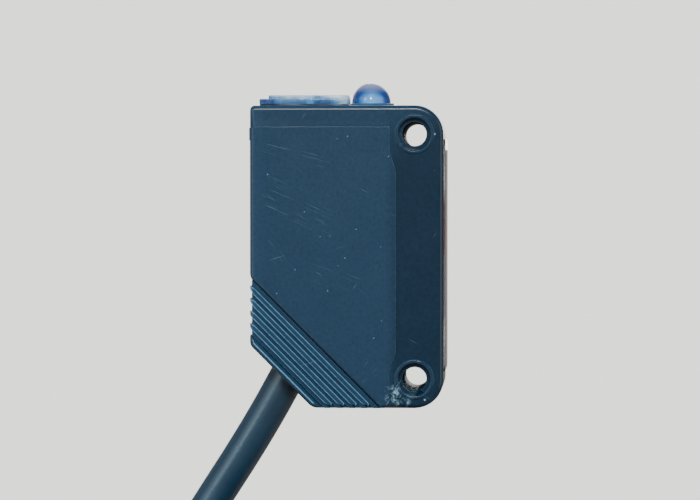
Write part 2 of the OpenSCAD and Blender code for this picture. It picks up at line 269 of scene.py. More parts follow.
def new_group(name, inputs, outputs):
    """An empty node group; its inputs are numbers, apart from the vector Place."""
    group = bpy.data.node_groups.new(name, "ShaderNodeTree")
    group.interface.new_socket("Place", in_out="INPUT", socket_type="NodeSocketVector")
    for label, value in inputs.items():
        socket = group.interface.new_socket(
            label, in_out="INPUT", socket_type="NodeSocketFloat")
        socket.default_value = value
    for label in outputs:
        group.interface.new_socket(label, in_out="OUTPUT", socket_type="NodeSocketFloat")
    given = group.nodes.new("NodeGroupInput").outputs
    result = group.nodes.new("NodeGroupOutput").inputs
    return group, given, result


# Grain of a moulded or extruded surface, with slow clouds of tone over it
surface_grain, given, result = new_group("surface_grain", {"Size": 0.0001}, ["Grain", "Cloud"])
fineness = maths(surface_grain, "DIVIDE", 1.0, given["Size"])
fine = add_node(surface_grain, "TexNoise", {
    "Vector": given["Place"], "Scale": fineness, "Detail": 2.0, "Roughness": 0.6})
slow = add_node(surface_grain, "TexNoise", {
    "Vector": given["Place"], "Scale": maths(surface_grain, "MULTIPLY", fineness, 0.03),
    "Detail": 4.0, "Roughness": 0.62})
surface_grain.links.new(fine.outputs["Fac"], result["Grain"])
surface_grain.links.new(slow.outputs["Fac"], result["Cloud"])

# Specks of dust, one in some of the cells of a loose pattern
dust_specks, given, result = new_group(
    "dust_specks", {"Spacing": 0.001, "Share": 0.3}, ["Mask"])
cells = add_node(dust_specks, "TexVoronoi", {
    "Vector": given["Place"], "Scale": maths(dust_specks, "DIVIDE", 1.0, given["Spacing"])})
lot = add_node(dust_specks, "SeparateColor", {"Color": cells.outputs["Color"]})
chosen = maths(dust_specks, "LESS_THAN", lot.outputs[0], given["Share"])
reach = maths(dust_specks, "MULTIPLY_ADD", lot.outputs[1], 0.07, 0.03)
near = add_node(dust_specks, "MapRange", {
    0: cells.outputs["Distance"], 1: reach, 2: maths(dust_specks, "MULTIPLY", reach, 0.4)})
dust_specks.links.new(
    maths(dust_specks, "MULTIPLY", chosen, near.outputs[0]), result["Mask"])

# Light rubbing where a surface turns a corner, broken up by a fine noise; the same mask also
# lays a painted highlight along the edges
worn_edges, given, result = new_group(
    "worn_edges", {"Radius": 0.0001, "Amount": 0.5}, ["Mask"])
rounded = add_node(worn_edges, "Bevel", {"Radius": given["Radius"]}, samples=6)
surface = add_node(worn_edges, "NewGeometry")
turn = add_node(worn_edges, "VectorMath", {
    0: rounded.outputs[0], 1: surface.outputs["Normal"]}, operation="DOT_PRODUCT")
corner = maths(worn_edges, "MULTIPLY", maths(
    worn_edges, "SUBTRACT", 1.0, turn.outputs["Value"], clamp=True), 5.0)
broken = add_node(worn_edges, "TexNoise", {
    "Vector": given["Place"], "Scale": 1800.0, "Detail": 3.0})
worn = maths(worn_edges, "MULTIPLY", corner,
             maths(worn_edges, "MULTIPLY", broken.outputs["Fac"], given["Amount"]), clamp=True)
worn_edges.links.new(worn, result["Mask"])


def shade(colour, factor):
    """A colour made lighter or darker by a factor."""
    return tuple(min(1, c * factor) for c in colour[:3]) + (1,)


def moulded(name, colour, roughness, grain=0.1, depth=0.003, mottle=0.12, wear=0.4,
            wear_sheen_width=0.08, worn=1.8, dust=0.15, paint=None, marks=None,
            pale=(0.55, 0.57, 0.57, 1), uneven=0.07, **values):
    """A material with grain, clouds of tone, rubbed and painted-highlight corners and a little
    dust.

    Lengths are in millimetres. paint(tree, place) may give the colour itself, and
    marks(tree, place) a mask of marks on the surface, in the pale colour.
    """
    material, tree, shader = new_material(name)
    place = add_node(tree, "TexCoord").outputs["Object"]
    texture = add_node(tree, "Group", node_tree=surface_grain)
    tree.links.new(place, texture.inputs["Place"])
    texture.inputs["Size"].default_value = grain * mm
    cloud = texture.outputs["Cloud"]
    if paint:
        base = paint(tree, place)
        tone = blend(tree, cloud, (1 - mottle,) * 3 + (1,), (1 + mottle,) * 3 + (1,))
        tinted = add_node(tree, "Mix", data_type="RGBA", blend_type="MULTIPLY")
        tinted.inputs[0].default_value = 1.0
        tree.links.new(base, tinted.inputs[6])
        tree.links.new(tone, tinted.inputs[7])
        base = tinted.outputs[2]
    else:
        base = blend(tree, cloud, shade(colour, 1 - 2 * mottle), shade(colour, 1 + 2 * mottle))
    rubbed_sheen = add_node(tree, "Group", node_tree=worn_edges)
    tree.links.new(place, rubbed_sheen.inputs["Place"])
    rubbed_sheen.inputs["Radius"].default_value = wear_sheen_width * mm
    rubbed_sheen.inputs["Amount"].default_value = wear
    # the corners are painted lighter: partly wear, partly painted highlight along the edges
    base = blend(tree, rubbed_sheen.outputs["Mask"], base, shade(colour, worn))
    specks = add_node(tree, "Group", node_tree=dust_specks)
    tree.links.new(place, specks.inputs["Place"])
    specks.inputs["Spacing"].default_value = 0.9 * mm
    specks.inputs["Share"].default_value = dust
    dusty = maths(tree, "MULTIPLY", specks.outputs["Mask"], 0.45)
    if marks:
        dusty = maths(tree, "MAXIMUM", dusty, marks(tree, place))
    base = blend(tree, dusty, base, pale)
    tree.links.new(base, shader.inputs["Base Color"])
    rough = add_node(tree, "MapRange", {0: cloud, 1: 0.3, 2: 0.7, 3: roughness - uneven,
                                        4: roughness + uneven})
    tree.links.new(maths(tree, "MAXIMUM", rough.outputs[0], maths(
        tree, "MULTIPLY", dusty, 0.9)), shader.inputs["Roughness"])
    bump = add_node(tree, "Bump", {
        "Strength": 1.0, "Distance": depth * mm, "Height": texture.outputs["Grain"]})
    tree.links.new(bump.outputs[0], shader.inputs["Normal"])
    for key, value in values.items():
        shader.inputs[key.replace("_", " ")].default_value = value
    return material


jacket = moulded("cable_jacket", (0.0055, 0.023, 0.043), 0.36, grain=0.35, depth=0.012,
                 mottle=0.14, wear=0, dust=0.25, Specular_IOR_Level=0.7)
cable = cord_curve("cable", lead_route + coil_turns() + tail_route, cable_d, 6, jacket)
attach(cable, "sensor")
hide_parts("cable_lead", "cable_coil", "cable_tail")

core_routes = {
    "brown": [(3.5, -26.8, -108.1), (3, -26.8, -112), (1.6, -27, -120),
              (0, -27.2, -128), (-1, -27.3, -136), (-1.4, -27.3, -146)],
    "blue": [(4.6, -27.5, -108.1), (4.9, -27.7, -113), (5.6, -28.2, -122),
             (5.9, -28.5, -131), (5.8, -28.6, -140), (5.5, -28.6, -147)],
    "black": [(4.6, -26.1, -108.1), (5.4, -26, -112), (7.6, -25.7, -119),
              (9.8, -25.5, -127), (11.2, -25.5, -135), (11.8, -25.5, -144)]}
core_d = 1.2
core_colours = {"brown": (0.12, 0.045, 0.02), "blue": (0.015, 0.09, 0.42),
                "black": (0.012, 0.012, 0.013)}
for name, route in core_routes.items():
    insulation = moulded("core_" + name, core_colours[name], 0.38, grain=0.2,
                         depth=0.004, mottle=0.08, wear=0)
    core = cord_curve("wire_" + name, route, core_d, 4, insulation)
    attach(core, "sensor")
    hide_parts("core_" + name)

# --- Core tips -----------------------------------------------------------------
# The bare ends of the three cores: fine copper strands, twisted and dipped in solder.
tip_length = 6
strand_r = 0.13
strand_ring_r = 0.235
tip_steps = 15
tin = moulded("tinned_copper", (0.62, 0.62, 0.6), 0.3, grain=0.15, depth=0.006,
              mottle=0.1, wear=0, dust=0, Metallic=1.0)
bm = bmesh.new()
for route in core_routes.values():
    x, y, z = route[-1]
    for strand in range(7):
        out = 0 if strand == 6 else strand_ring_r
        turn = math.tau * strand / 6
        spot = Vector((x + out * math.cos(turn), y + out * math.sin(turn), z - 0.02)) * mm
        ring = bmesh.ops.create_circle(bm, segments=8, radius=strand_r * mm,
                                       matrix=Matrix.Translation(spot))["verts"]
        wires = list({edge for vert in ring for edge in vert.link_edges})
        bmesh.ops.spin(bm, geom=ring + wires, cent=Vector((x, y, z)) * mm, axis=(0, 0, 1),
                       angle=math.radians(300), steps=tip_steps,
                       dvec=(0, 0, -tip_length / tip_steps * mm))
bmesh.ops.holes_fill(bm, edges=[e for e in bm.edges if e.is_boundary], sides=0)
tips = finished_mesh("wire_tips", bm, tin, smooth=50)
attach(tips, "sensor")
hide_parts("core_tips")

# --- Cable ties ----------------------------------------------------------------
# Two nylon ties that hold the coil. Each is one moulded strap pulled through the
# ratchet in its own head, with its spare tail cut off close.
def round_edges(bm, edges, width, segments=2):
    """Bevels some edges of a bmesh to a width in millimetres."""
    ends = {vert for edge in edges for vert in edge.verts}
    bmesh.ops.bevel(bm, geom=list(edges) + list(ends), offset=width * mm,
                    segments=segments, profile=0.5, affect="EDGES", material=-1)


def block(bm, centre, size, rounding, turn=0.0):
    """Adds a box with rounded edges, turned about Z."""
    matrix = (Matrix.Translation(Vector(centre) * mm) @ Matrix.Rotation(turn, 4, "Z")
              @ Matrix.Diagonal(Vector(size) * mm).to_4x4())
    corners = bmesh.ops.create_cube(bm, size=1, matrix=matrix)["verts"]
    round_edges(bm, {edge for vert in corners for edge in vert.link_edges}, rounding)


nylon = moulded("tie_nylon", (0.7, 0.68, 0.61), 0.42, grain=0.25, depth=0.006,
                mottle=0.04, wear=0.2, worn=1.2, dust=0.2, Subsurface_Weight=0.15,
                Subsurface_Scale=0.001)
strap_w, strap_t, strap_corner = 2.5, 0.8, 2.2
head_depth, head_w, head_tall, head_y = 3, 4.6, 4, -14.7
first_tooth_y, tooth_pitch = -9.1, 0.45
for side, node in ((1, "tie_right"), (-1, "tie_left")):
    low, high = (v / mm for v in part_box(node))
    outer = high.x - head_depth if side > 0 else low.x + head_depth
    inner = low.x if side > 0 else high.x
    bm = bmesh.new()
    loop = [bm.verts.new(Vector((x, y, coil_z - strap_w / 2)) * mm)
            for x, y in ((inner, low.y), (outer, low.y), (outer, high.y), (inner, high.y))]
    bm.faces.new(loop)
    bmesh.ops.bevel(bm, geom=loop, offset=strap_corner * mm, segments=6, profile=0.5,
                    affect="VERTICES", material=-1)
    bm.faces.ensure_lookup_table()
    bmesh.ops.inset_region(bm, faces=bm.faces[:], thickness=strap_t * mm,
                           use_boundary=True, use_even_offset=True)
    middle = max(bm.faces, key=lambda f: f.calc_area())
    bmesh.ops.delete(bm, geom=[middle], context="FACES")
    top = bmesh.ops.extrude_face_region(bm, geom=bm.faces[:])["geom"]
    bmesh.ops.translate(bm, verts=[g for g in top if isinstance(g, bmesh.types.BMVert)],
                        vec=(0, 0, strap_w * mm))
    bmesh.ops.recalc_face_normals(bm, faces=bm.faces)
    rims = [e for e in bm.edges if e.calc_face_angle(0) > 1.2
            and abs(e.verts[0].co.z - e.verts[1].co.z) < 1e-6]
    round_edges(bm, rims, 0.18)
    # the head, with a sunk window through which the strap's cut tail comes out
    centre = Vector((outer + side * head_depth / 2, head_y, coil_z)) * mm
    head = bmesh.ops.create_cube(bm, size=1, matrix=Matrix.Translation(centre) @ (
        Matrix.Diagonal((head_depth * mm, head_w * mm, head_tall * mm, 1))))
    edges = {edge for vert in head["verts"] for edge in vert.link_edges}
    faces = {face for vert in head["verts"] for face in vert.link_faces}
    front = max(faces, key=lambda f: f.calc_center_median().x * side)
    bmesh.ops.inset_region(bm, faces=[front], thickness=0.9 * mm)
    bmesh.ops.inset_region(bm, faces=[front], thickness=0.02 * mm, depth=-0.9 * mm)
    round_edges(bm, edges, 0.4, 3)
    block(bm, (outer + side * (head_depth + 0.2), head_y, coil_z), (2.6, 1.1, 1.9), 0.15)
    # the ratchet's teeth, on the outside of the strap
    for tooth in range(9):
        block(bm, (outer + side * 0.03, first_tooth_y + tooth_pitch * tooth, coil_z),
              (0.16, 0.3, 1.7), 0.04, turn=side * 0.25)
    tie = finished_mesh("coil_" + node, bm, nylon, smooth=40)
    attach(tie, "sensor")
    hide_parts(node)

# --- Case ----------------------------------------------------------------------
# The body, moulded in dark blue glass-filled PBT and welded round its middle. Raised
# side panels, rings round the screw holes and grip grooves are part of the moulding.
case_low, case_high = (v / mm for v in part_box("case_body"))
middle_y = (case_low.y + case_high.y) / 2
side_off = (case_high.y - case_low.y) / 2
front_x, half_h = case_high.x, case_high.z
ledge_rise = 0.15  # a small ledge stands out of the rear face
rear_x = case_low.x + ledge_rise
hole_z = 12.7
ring_r = 2.2
corner_r = 3
slope_sum = -26.3  # x + z on the face of the sloped corner
panel_rise = 0.15


def refined(node, name, material, rounding=(), smooth=35):
    """Puts a finished piece with rounded edges in the place of a CAD node.

    rounding lists (width in mm, segments, test), where the test is given both ends of
    a sharp edge in millimetres.
    """
    bm = bmesh.new()
    bm.from_mesh(frame["nodes"][node].data)
    bmesh.ops.remove_doubles(bm, verts=bm.verts, dist=0.002 * mm)
    bmesh.ops.dissolve_limit(bm, angle_limit=math.radians(0.5), verts=bm.verts,
                             edges=bm.edges)
    for width, segments, test in rounding:
        edges = [e for e in bm.edges if e.is_convex and e.calc_face_angle(0) > 0.6
                 and test(*(v.co / mm for v in e.verts))]
        round_edges(bm, edges, width, segments)
    piece = finished_mesh(name, bm, material, smooth)
    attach(piece, frame["nodes"][node]["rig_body"].replace("body_", ""))
    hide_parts(node)


def on_outline(p):
    """Whether a point is on the outside of the case as seen from the side."""
    flat = (abs(p.x - rear_x) < 0.01 or abs(abs(p.z) - half_h) < 0.01
            or abs(p.x - front_x) < 0.01 or abs(p.x + p.z - slope_sum) < 0.02)
    corner = p.x > front_x - corner_r and abs(p.z) > half_h - corner_r and abs(
        math.hypot(p.x - front_x + corner_r, abs(p.z) - half_h + corner_r) - corner_r) < 0.02
    return flat or corner


def outer_corner(a, b):
    """The case's outer edges, between a side and the top, front, foot or rear."""
    side = all(min(abs(p.y - y) for y in (case_low.y, case_low.y + panel_rise,
                                          case_high.y - panel_rise, case_high.y)) < 0.01
               for p in (a, b))
    return side and on_outline(a) and on_outline(b)


def across_corner(a, b):
    """The edges that run across the case from side to side, and stay nearly sharp."""
    return on_outline(a) and on_outline(b) and abs(a.y - b.y) > 5 and max(
        abs(p.x - front_x) for p in (a, b)) > 0.01


def relief_edge(a, b):
    """Edges of the raised panels, rings and grooves, on the two sides."""
    return any(abs(a.y - y) < 0.01 and abs(b.y - y) < 0.01 for y in (case_low.y, case_high.y))


def groove_edge(a, b):
    """The long edges of the grip grooves, which run parallel to the sloped corner."""
    return (relief_edge(a, b) and abs(a.x - b.x) > 0.05
            and abs(a.x + a.z - b.x - b.z) < 0.02 and a.x + a.z > slope_sum + 0.1)


def near_point(tree, place, spot, reach):
    """1 at a spot on the surface, falling to 0 at a distance; both in millimetres."""
    gap = add_node(tree, "VectorMath", {0: place, 1: Vector(spot) * mm},
                   operation="DISTANCE")
    return add_node(tree, "MapRange", {0: gap.outputs["Value"], 1: reach * mm,
                                       2: reach * 0.3 * mm}).outputs[0]


def scratch_lines(tree, place, tilt, along, apart, share):
    """Fine straight scratches lying at one angle over the sides."""
    turned = add_node(tree, "VectorRotate", {"Vector": place, "Angle": tilt},
                      rotation_type="Y_AXIS")
    stretched = add_node(tree, "VectorMath", {
        0: turned.outputs[0], 1: (1000 / along, 100, 1000 / apart)}, operation="MULTIPLY")
    cells = add_node(tree, "TexVoronoi", {"Vector": stretched.outputs[0], "Scale": 1.0})
    lot = add_node(tree, "SeparateColor", {"Color": cells.outputs["Color"]})
    chosen = maths(tree, "LESS_THAN", lot.outputs[0], share)
    thin = add_node(tree, "MapRange", {0: cells.outputs["Distance"], 1: 0.16, 2: 0.02})
    return maths(tree, "MULTIPLY", chosen, thin.outputs[0])


def scratch_bundle(tree, place, centre, tilt, long, wide, fineness):
    """Fine parallel scratches in one patch of the sides; lengths in millimetres."""
    moved = add_node(tree, "VectorMath", {0: place, 1: Vector((centre[0], 0, centre[1])) * mm},
                     operation="SUBTRACT")
    turned = add_node(tree, "VectorRotate", {"Vector": moved.outputs[0], "Angle": tilt},
                      rotation_type="Y_AXIS")
    axes = add_node(tree, "SeparateXYZ", {0: turned.outputs[0]}).outputs
    patch = 1
    for axis, half in ((axes[0], long / 2), (axes[2], wide / 2)):
        fade = add_node(tree, "MapRange", {0: maths(tree, "ABSOLUTE", axis), 1: half * mm,
                                           2: half * 0.55 * mm}).outputs[0]
        patch = maths(tree, "MULTIPLY", fade, patch)
    stretched = add_node(tree, "VectorMath", {
        0: turned.outputs[0], 1: (250, 100, 1000 / fineness)}, operation="MULTIPLY")
    lines = add_node(tree, "TexNoise", {"Vector": stretched.outputs[0], "Scale": 1.0,
                                        "Detail": 2.0, "Roughness": 0.6})
    thin = add_node(tree, "MapRange", {0: lines.outputs["Fac"], 1: 0.6, 2: 0.72})
    return maths(tree, "MULTIPLY", patch, thin.outputs[0])


def case_paint(tree, place):
    """Dark on the sunk flange that holds the screws, lighter on the raised panel.

    The rear edge and the top of the rear are a little lighter again.
    """
    axes = add_node(tree, "SeparateXYZ", {0: place}).outputs
    off_middle = maths(tree, "ABSOLUTE", maths(tree, "SUBTRACT", axes[1], middle_y * mm))
    raised = add_node(tree, "MapRange", {
        0: off_middle, 1: (side_off - 0.12) * mm, 2: (side_off - 0.03) * mm}).outputs[0]
    behind = add_node(tree, "MapRange", {0: axes[0], 1: -1.9 * mm, 2: -3 * mm}).outputs[0]
    above = add_node(tree, "MapRange", {0: maths(tree, "SUBTRACT", axes[2], maths(
        tree, "MULTIPLY", axes[0], 0.8)), 1: 11 * mm, 2: 16.5 * mm}).outputs[0]
    smooth = maths(tree, "MAXIMUM", maths(tree, "MULTIPLY", raised, maths(
        tree, "MULTIPLY_ADD", behind, 0.5, 0.5)), maths(tree, "MULTIPLY", behind, 0.8))
    smooth = maths(tree, "MAXIMUM", smooth, maths(tree, "MULTIPLY", above, 0.7))
    rear = add_node(tree, "MapRange", {0: axes[0], 1: -15.4 * mm, 2: -17 * mm}).outputs[0]
    smooth = maths(tree, "ADD", smooth, maths(tree, "MULTIPLY", rear, 0.35))
    flow = add_node(tree, "TexNoise", {"Vector": place, "Scale": 2600.0, "Detail": 4.0,
                                       "Roughness": 0.65})
    fine = add_node(tree, "MapRange", {0: flow.outputs["Fac"], 1: 0.3, 2: 0.7}).outputs[0]
    flange, panel = (blend(tree, fine, shade(colour, 0.84), shade(colour, 1.16))
                     for colour in ((0.0022, 0.0125, 0.0265), (0.0084, 0.0262, 0.0508)))
    mix = add_node(tree, "Mix", {0: smooth}, data_type="RGBA", clamp_factor=False)
    tree.links.new(flange, mix.inputs[6])
    tree.links.new(panel, mix.inputs[7])
    return mix.outputs[2]


def case_marks(tree, place):
    """Scratches, one scuffed corner and a few chips, as handling leaves them."""
    # scratches over the whole of both sides: angle, length, spacing and share
    marks = maths(tree, "MULTIPLY", scratch_lines(tree, place, 0.3, 7, 0.35, 0.06), 0.16)
    for tilt, along, apart, share in ((-0.5, 4, 0.3, 0.05), (1.0, 3, 0.3, 0.04)):
        lines = scratch_lines(tree, place, tilt, along, apart, share)
        marks = maths(tree, "MAXIMUM", marks, maths(tree, "MULTIPLY", lines, 0.14))
    # patches of parallel scratches: centre, angle, length, width and strength
    for centre, tilt, long, wide, strength in (
            ((-12.4, 10.6), -0.26, 9, 1.4, 0.3), ((-12.2, 5.4), -0.42, 10, 4, 0.19),
            ((-3.4, 6.4), 1.05, 1.8, 0.6, 0.6), ((-14.6, 0.5), -0.9, 3, 1.6, 0.35),
            ((-8, -2), -0.35, 7, 3, 0.12), ((-4.4, -12.4), 0.9, 2.4, 1.4, 0.4)):
        lines = scratch_bundle(tree, place, centre, tilt, long, wide, 0.16)
        marks = maths(tree, "MAXIMUM", marks, maths(tree, "MULTIPLY", lines, strength))
    scuff = maths(tree, "MAXIMUM", near_point(tree, place, (-2.1, -10.75, -14.3), 1.15),
                  near_point(tree, place, (-1.2, -10.75, -15.1), 0.95))
    rough = add_node(tree, "TexNoise", {"Vector": place, "Scale": 2100.0, "Detail": 5.0,
                                        "Roughness": 0.65})
    scuff = maths(tree, "MULTIPLY", scuff, add_node(tree, "MapRange", {
        0: rough.outputs["Fac"], 1: 0.5, 2: 0.66}).outputs[0])
    for tilt in (0.95, -0.5):
        lines = scratch_bundle(tree, place, (-1.8, -14.5), tilt, 3.4, 2.8, 0.2)
        scuff = maths(tree, "MAXIMUM", scuff, lines)
    marks = maths(tree, "MAXIMUM", marks, maths(tree, "MULTIPLY", scuff, 0.9))
    for spot in ((-0.05, -10.8, -10.36), (-2.47, -10.8, -11.63), (1.08, -10.65, -14.8),
                 (2.1, -10.65, 12.7)):
        chip = maths(tree, "MULTIPLY", near_point(tree, place, spot, 0.14), 0.8)
        marks = maths(tree, "MAXIMUM", marks, chip)
    return marks


def ring_edge(a, b):
    """The outer and inner edges of the raised rings round the screw holes."""
    return relief_edge(a, b) and all(
        math.hypot(p.x, abs(p.z) - hole_z) < ring_r + 0.02 for p in (a, b))


# its edges are painted up to five times lighter: partly wear, partly painted highlight along
# the edges and grooves
case_plastic = moulded("case_plastic", (0.013, 0.04, 0.068), 0.25, grain=0.09, depth=0.005,
                       mottle=0.08, wear=0.6, wear_sheen_width=0.07, worn=5, dust=0.35,
                       paint=case_paint, marks=case_marks, pale=(0.19, 0.33, 0.41, 1),
                       uneven=0.015, Specular_IOR_Level=0.38)
refined("case_body", "case_shell", case_plastic, [
    (0.5, 5, outer_corner), (0.12, 2, across_corner), (0.13, 3, ring_edge),
    (0.035, 2, groove_edge), (0.06, 2, relief_edge)])

# --- Screw threads -------------------------------------------------------------
# The M3 thread cut in the wall of both screw holes: a fine spiral ridge that starts
# under the widened entry and runs out at the far side.
thread_pitch = 0.5
bore_r = 1.3
thread_low, thread_high = case_low.y + 0.75, case_high.y - 0.1
# darker than the case plastic the thread is cut in: painted shade inside the screw holes
thread_plastic = moulded("thread_plastic", (0.004, 0.014, 0.024), 0.34, grain=0.1,
                         depth=0.002, wear=0.3, wear_sheen_width=0.04)
bm = bmesh.new()
turns = (thread_high - thread_low) / thread_pitch - 1
thread_steps = 36  # in each turn
for z in (hole_z, -hole_z):
    profile = [bm.verts.new(Vector((bore_r + out, thread_low + along, z)) * mm)
               for out, along in ((0.02, 0), (-0.075, 0.2), (-0.075, 0.26), (0.02, 0.46))]
    ridge = [bm.edges.new((a, b)) for a, b in zip(profile, profile[1:] + profile[:1])]
    bmesh.ops.spin(bm, geom=profile + ridge, cent=Vector((0, 0, z)) * mm, axis=(0, 1, 0),
                   angle=math.tau * turns, steps=round(turns * thread_steps),
                   dvec=(0, thread_pitch / thread_steps * mm, 0))
bmesh.ops.holes_fill(bm, edges=[e for e in bm.edges if e.is_boundary], sides=0)
threads = finished_mesh("hole_threads", bm, thread_plastic, smooth=40)
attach(threads, "sensor")

# --- Front window --------------------------------------------------------------
# One moulded pane of smoky red acrylic with polished faces, bonded into the pocket in
# the front face and standing a little proud of it.
window_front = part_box("front_window")[1].x / mm
inside_rim, window_rim = 4.4, 4.5  # its cut edges, to each side of the middle plane
window_reach = 12.5  # its edge colours are laid over this height up and down


def clear_plastic(name, tint, roughness, ior, paint=None, through=0.92, dust=0.2,
                  mottle=0.05, uneven=0.03):
    """A see-through moulded plastic with a faint tint, wiping marks and dust."""
    return moulded(name, tint, roughness, grain=1.2, depth=0.0015, mottle=mottle, wear=0.25,
                   wear_sheen_width=0.06, worn=1.25, dust=dust, paint=paint,
                   uneven=uneven, Transmission_Weight=through, IOR=ior)


def set_ramp(node, stops):
    """Sets the stops of a colour ramp, each a position and a colour."""
    ramp = node.color_ramp.elements
    for stop, (spot, colour) in enumerate(stops):
        element = ramp[stop] if stop < 2 else ramp.new(spot)
        element.position = spot
        element.color = colour + (1,)


def window_paint(tree, place):
    """Smoky red seen from in front; its cut edges are clear, grey and brown by turns."""
    axes = add_node(tree, "SeparateXYZ", {0: place}).outputs
    off_middle = maths(tree, "ABSOLUTE", maths(tree, "SUBTRACT", axes[1], middle_y * mm))
    rim = add_node(tree, "MapRange", {0: off_middle, 1: inside_rim * mm,
                                      2: window_rim * mm}).outputs[0]
    bands = add_node(tree, "MapRange", {
        0: axes[2], 1: -window_reach * mm, 2: window_reach * mm})
    edge = add_node(tree, "ValToRGB", {0: bands.outputs[0]})
    stops = ((0, (0.88, 0.9, 0.92)), (0.2, (0.86, 0.88, 0.9)), (0.27, (0.36, 0.34, 0.41)),
             (0.5, (0.36, 0.32, 0.39)), (0.54, (0.26, 0.12, 0.12)), (0.72, (0.3, 0.16, 0.16)),
             (0.8, (0.82, 0.83, 0.86)), (0.95, (0.84, 0.85, 0.88)), (0.97, (0.35, 0.36, 0.38)))
    set_ramp(edge, stops)
    return blend(tree, rim, (0.32, 0.05, 0.05, 1), edge.outputs[0])


def window_front_edge(a, b):
    """The edges round the window's front face."""
    return all(abs(p.x - window_front) < 0.01 for p in (a, b))


window_acrylic = clear_plastic("window_acrylic", (0.45, 0.2, 0.2), 0.035, 1.49,
                               paint=window_paint, through=0.88, uneven=0.012)
refined("front_window", "window_pane", window_acrylic, [(0.22, 3, window_front_edge)],
        smooth=40)

# --- Lenses and polarisers -----------------------------------------------------
# Two moulded lenses with flat fronts, each under a thin polarising film: the lower
# one sends the light out, the upper one takes back what the reflector returns.
lens_clear = clear_plastic("lens_clear", (0.9, 0.93, 0.95), 0.04, 1.52)
film = clear_plastic("polariser_film", (0.42, 0.43, 0.47), 0.09, 1.5, through=0.7)
for node in ("emitter_lens", "receiver_lens"):
    refined(node, node.replace("_lens", "_optic"), lens_clear, smooth=40)
for node in ("emitter_polariser", "receiver_polariser"):
    refined(node, node.replace("_polariser", "_film"), film, smooth=40)

# --- Optics holder -------------------------------------------------------------
# The black block that holds both lenses at their distance from the light source and
# the receiver, and keeps light from passing straight from one tunnel to the other.
holder_black = moulded("holder_black", (0.012, 0.012, 0.014), 0.55, grain=0.09,
                       depth=0.006, mottle=0.15, wear=0.35, worn=3)
refined("optics_holder", "lens_holder", holder_black, smooth=40)

# --- Optics board parts --------------------------------------------------------
# The red light source in its clear epoxy bead, the dark receiver chip, and a folded
# tinned can over the receiver's amplifier, all soldered to the optics board.
def dress(node, material):
    """Gives a CAD node, whose shape stays as it is, its finish."""
    frame["nodes"][node].material_slots[0].material = material


clear_epoxy = moulded("clear_epoxy", (0.75, 0.73, 0.66), 0.18, grain=0.3, depth=0.002,
                      mottle=0.05, wear=0.1, Coat_Weight=0.4)
dark_epoxy = moulded("dark_epoxy", (0.015, 0.012, 0.018), 0.22, grain=0.3, depth=0.002,
                     mottle=0.1, wear=0.2, worn=3)
tin_plate = moulded("tin_plate", (0.6, 0.6, 0.59), 0.32, grain=0.5, depth=0.004,
                    mottle=0.1, wear=0.3, worn=1.3, Metallic=1.0)
dress("emitter_led", clear_epoxy)
dress("receiver_diode", dark_epoxy)
dress("shield_can", tin_plate)

# --- Circuit boards ------------------------------------------------------------
# Three glass-fibre boards under green solder mask: copper tracks show through it as
# lighter lines. They carry the optics, the main circuit and the controls.
def board_paint(tree, place):
    """Green mask over squared-off copper tracks, with tinned pads between them."""
    cells = add_node(tree, "TexVoronoi", {"Vector": place, "Scale": 620.0},
                     distance="CHEBYCHEV", feature="F1")
    rings = maths(tree, "SINE", maths(tree, "MULTIPLY", cells.outputs["Distance"], 26))
    tracks = maths(tree, "GREATER_THAN", rings, 0.55)
    pads = maths(tree, "LESS_THAN", cells.outputs["Distance"], 0.1)
    green = blend(tree, tracks, (0.006, 0.06, 0.022, 1), (0.02, 0.15, 0.05, 1))
    return blend(tree, pads, green, (0.5, 0.5, 0.48, 1))


board_green = moulded("board_green", (0.01, 0.1, 0.04), 0.35, grain=0.3, depth=0.004,
                      mottle=0.1, wear=0.4, worn=3, paint=board_paint)
for node in ("optics_board", "main_board", "panel_board"):
    dress(node, board_green)

# --- Chips and small parts -----------------------------------------------------
# The control chip and output transistor in black epoxy, ceramic resistors and
# capacitors with tinned ends, one tantalum capacitor and the pins between boards.
chip_black = moulded("chip_black", (0.014, 0.014, 0.015), 0.5, grain=0.07, depth=0.004,
                     mottle=0.12, wear=0.4, worn=3)
ceramic = moulded("ceramic_chip", (0.3, 0.2, 0.11), 0.4, grain=0.08, depth=0.003,
                  mottle=0.2, wear=0.3)
tantalum = moulded("tantalum_yellow", (0.62, 0.36, 0.04), 0.35, grain=0.2, depth=0.002,
                   mottle=0.08, wear=0.3, worn=1.4)
gold = moulded("gold_pin", (0.78, 0.56, 0.2), 0.25, grain=0.3, depth=0.003, mottle=0.1,
               wear=0.2, worn=1.2, Metallic=1.0)
for node in ("control_chip", "output_transistor"):
    dress(node, chip_black)
dress("board_passives", ceramic)
dress("tantalum_capacitor", tantalum)
dress("link_pins", gold)

# --- Adjusters -----------------------------------------------------------------
# Two screwdriver adjusters: a white one with a crossed slot sets the sensitivity, an
# orange one with a slot and pointer picks the mode. Each turns in its own base.
trimmer_blue = moulded("trimmer_blue", (0.02, 0.06, 0.28), 0.35, grain=0.2, depth=0.002,
                       mottle=0.08, wear=0.3)
switch_black = moulded("switch_black", (0.014, 0.014, 0.015), 0.4, grain=0.1, depth=0.003,
                       mottle=0.1, wear=0.3, worn=3)
dial_white = moulded("dial_white", (0.72, 0.71, 0.66), 0.38, grain=0.15, depth=0.003,
                     mottle=0.04, wear=0.3, worn=1.15, dust=0.2)
dial_orange = moulded("dial_orange", (0.72, 0.22, 0.025), 0.38, grain=0.15, depth=0.003,
                      mottle=0.06, wear=0.3, worn=1.3, dust=0.2)
dress("sensitivity_trimmer", trimmer_blue)
dress("mode_switch", switch_black)
for node, material in (("sensitivity_dial", dial_white), ("mode_dial", dial_orange)):
    dial_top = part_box(node)[1].z / mm
    refined(node, node.replace("_dial", "_knob"), material, [
        (0.09, 2, lambda a, b: abs(a.z - dial_top) < 0.01 and abs(b.z - dial_top) < 0.01)])

